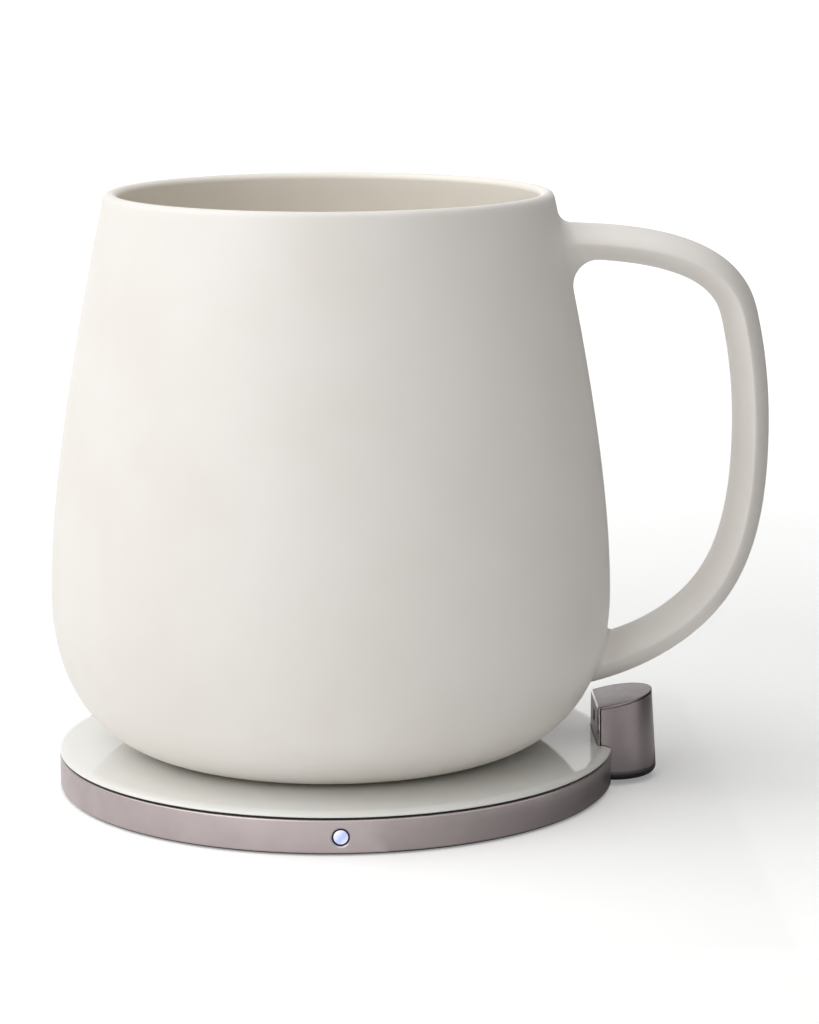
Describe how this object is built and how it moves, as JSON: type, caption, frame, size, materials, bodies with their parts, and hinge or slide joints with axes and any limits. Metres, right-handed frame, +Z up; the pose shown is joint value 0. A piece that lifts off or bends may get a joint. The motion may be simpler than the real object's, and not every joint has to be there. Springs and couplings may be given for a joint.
{
  "type": "electric mug warmer",
  "caption": "Thin round warming pad with an indicator lamp and a small sensor block at its edge, and the handled stoneware mug that stands on it.",
  "frame": {"origin": "centre of the pad's underside, on the surface that the pad stands on", "axes": "+Z up, -Y towards the indicator lamp at the front, +X towards the sensor block and the mug's handle"},
  "size_m": [0.1262, 0.0982, 0.1047],
  "materials": {
    "plate_white": "polished white moulding with mirror-like reflections",
    "adhesive_tape": "black foam tape",
    "gasket_rubber": "matte black",
    "ring_metal": "anodised taupe, bead blasted",
    "cover_plastic": "dark grey-brown moulding",
    "mat_rubber": "matte anti-slip mat",
    "screw_steel": "plated steel",
    "tray_plastic": "heat-resistant moulding",
    "ferrite": "sintered dark grey",
    "coil_copper": "enamelled copper strand",
    "insulation": "pale glass-fibre pad",
    "sensor_bead": "dipped black bead",
    "circuit_board": "green solder mask",
    "chip_black": "matte black package",
    "capacitor_ceramic": "tan sintered body",
    "socket_plastic": "ivory moulding",
    "lamp_diode": "pale diode body",
    "bezel_metal": "bright turned ring",
    "lens_clear": "milky light pipe, softly lit",
    "block_metal": "anodised taupe, bead blasted",
    "block_cap_plastic": "dark grey-brown moulding",
    "window_smoke": "smoked pane",
    "socket_steel": "plated steel shell",
    "tongue_plastic": "black moulding",
    "flat_cable": "white laminated film",
    "mug_stoneware": "matte warm white glaze",
    "heater_foil": "bonded steel foil",
    "base_disc": "pale silicone disc"
  },
  "bodies": {
    "warmer": {"top_plate": "plate_white", "plate_adhesive": "adhesive_tape", "plate_gasket": "gasket_rubber", "side_ring": "ring_metal", "base_cover": "cover_plastic", "foot_mat": "mat_rubber", "cover_screws": "screw_steel", "coil_tray": "tray_plastic", "ferrite_disc": "ferrite", "induction_coil": "coil_copper", "insulation_pad": "insulation", "thermistor": "sensor_bead", "main_board": "circuit_board", "board_screws": "screw_steel", "board_chips": "chip_black", "board_capacitors": "capacitor_ceramic", "board_inductors": "ferrite", "cable_socket": "socket_plastic", "lamp": "lamp_diode", "lamp_bezel": "bezel_metal", "lamp_lens": "lens_clear", "block_housing": "block_metal", "block_cap": "block_cap_plastic", "block_screws": "screw_steel", "sensor_window": "window_smoke", "mug_sensor": "chip_black", "sensor_board": "circuit_board", "inlet_socket": "socket_steel", "inlet_tongue": "tongue_plastic", "link_cable": "flat_cable"},
    "mug": {"mug": "mug_stoneware", "mug_heater": "heater_foil", "mug_base_disc": "base_disc"}
  },
  "joints": [
    {"name": "mug_lift", "type": "slide", "parent": "warmer", "child": "mug", "axis": [0, 0, 1], "range_m": [0, 0.12]}
  ]
}
